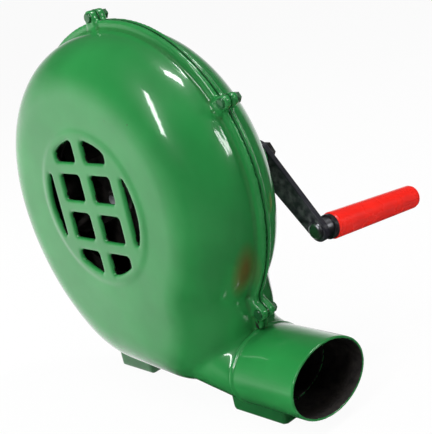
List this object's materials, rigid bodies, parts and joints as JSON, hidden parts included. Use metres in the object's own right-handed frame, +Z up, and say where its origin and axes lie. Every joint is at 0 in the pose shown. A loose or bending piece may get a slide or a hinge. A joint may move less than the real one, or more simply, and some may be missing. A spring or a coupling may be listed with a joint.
{
  "type": "hand crank forge blower",
  "caption": "Hand cranked geared centrifugal blower in a scroll casing, with an oval side outlet, a grille inlet and a turning grip.",
  "frame": {"origin": "middle of the four bench bolt holes, on the undersides of the feet, straight below the fan axis", "axes": "+X towards the outlet mouth, +Y from the inlet grille to the crank, +Z up"},
  "size_m": [0.296, 0.2115, 0.3114],
  "materials": {
    "casing_paint": "glossy enamel with fine wear",
    "gasket_paper": "matt",
    "screw_steel": "dark oxide",
    "plate_steel": "rolled",
    "bush_bronze": "turned",
    "gear_steel": "cut, oiled",
    "shaft_steel": "turned",
    "arm_paint": "satin black",
    "ferrule_black": "smooth",
    "grip_red": "gloss",
    "impeller_sheet": "sheet, dulled"
  },
  "bodies": {
    "housing": {"front_shell": "casing_paint", "rear_shell": "casing_paint", "flange_gasket": "gasket_paper", "outlet_sleeve": "casing_paint", "left_foot": "casing_paint", "right_foot": "casing_paint", "flange_screws": "screw_steel", "flange_nuts": "screw_steel", "gear_plate": "plate_steel", "plate_screws": "screw_steel", "crank_front_bush": "bush_bronze", "crank_rear_bush": "bush_bronze", "idler_front_bush": "bush_bronze", "idler_rear_bush": "bush_bronze", "fan_front_bush": "bush_bronze", "fan_rear_bush": "bush_bronze"},
    "crank": {"crank_shaft": "shaft_steel", "crank_wheel": "gear_steel", "crank_spacers": "plate_steel", "thrust_washer": "screw_steel", "crank_arm": "arm_paint", "crank_nut_washer": "screw_steel", "crank_nut": "screw_steel", "handle_pin": "shaft_steel", "handle_collar": "shaft_steel", "handle_ferrule": "ferrule_black"},
    "grip": {"handle_grip": "grip_red"},
    "idler": {"idler_shaft": "shaft_steel", "idler_pinion": "gear_steel", "idler_wheel": "gear_steel", "idler_spacers": "plate_steel"},
    "fan": {"fan_spindle": "shaft_steel", "fan_pinion": "gear_steel", "fan_spacers": "plate_steel", "impeller_hub": "impeller_sheet", "impeller_disc": "impeller_sheet", "impeller_ring": "impeller_sheet", "impeller_blades": "impeller_sheet", "hub_rivets": "screw_steel", "impeller_washer": "screw_steel", "impeller_nut": "screw_steel"}
  },
  "joints": [
    {"name": "crank_turn", "type": "hinge", "parent": "housing", "child": "crank", "pos_m": [0.07997, 0, 0.18303], "axis": [0, 1, 0], "continuous": true},
    {"name": "grip_spin", "type": "hinge", "parent": "crank", "child": "grip", "pos_m": [0.1264, 0.0285, 0.1267], "axis": [0.0478, 0.9936, -0.1026], "continuous": true},
    {"name": "idler_turn", "type": "hinge", "parent": "housing", "child": "idler", "pos_m": [0.03867, 0, 0.18707], "axis": [0, 1, 0], "continuous": true},
    {"name": "fan_turn", "type": "hinge", "parent": "housing", "child": "fan", "pos_m": [0, 0, 0.172], "axis": [0, 1, 0], "continuous": true}
  ],
  "couplings": [
    {"joint": "idler_turn", "follows": "crank_turn", "ratio": -3.5833},
    {"joint": "fan_turn", "follows": "crank_turn", "ratio": 12.84}
  ]
}
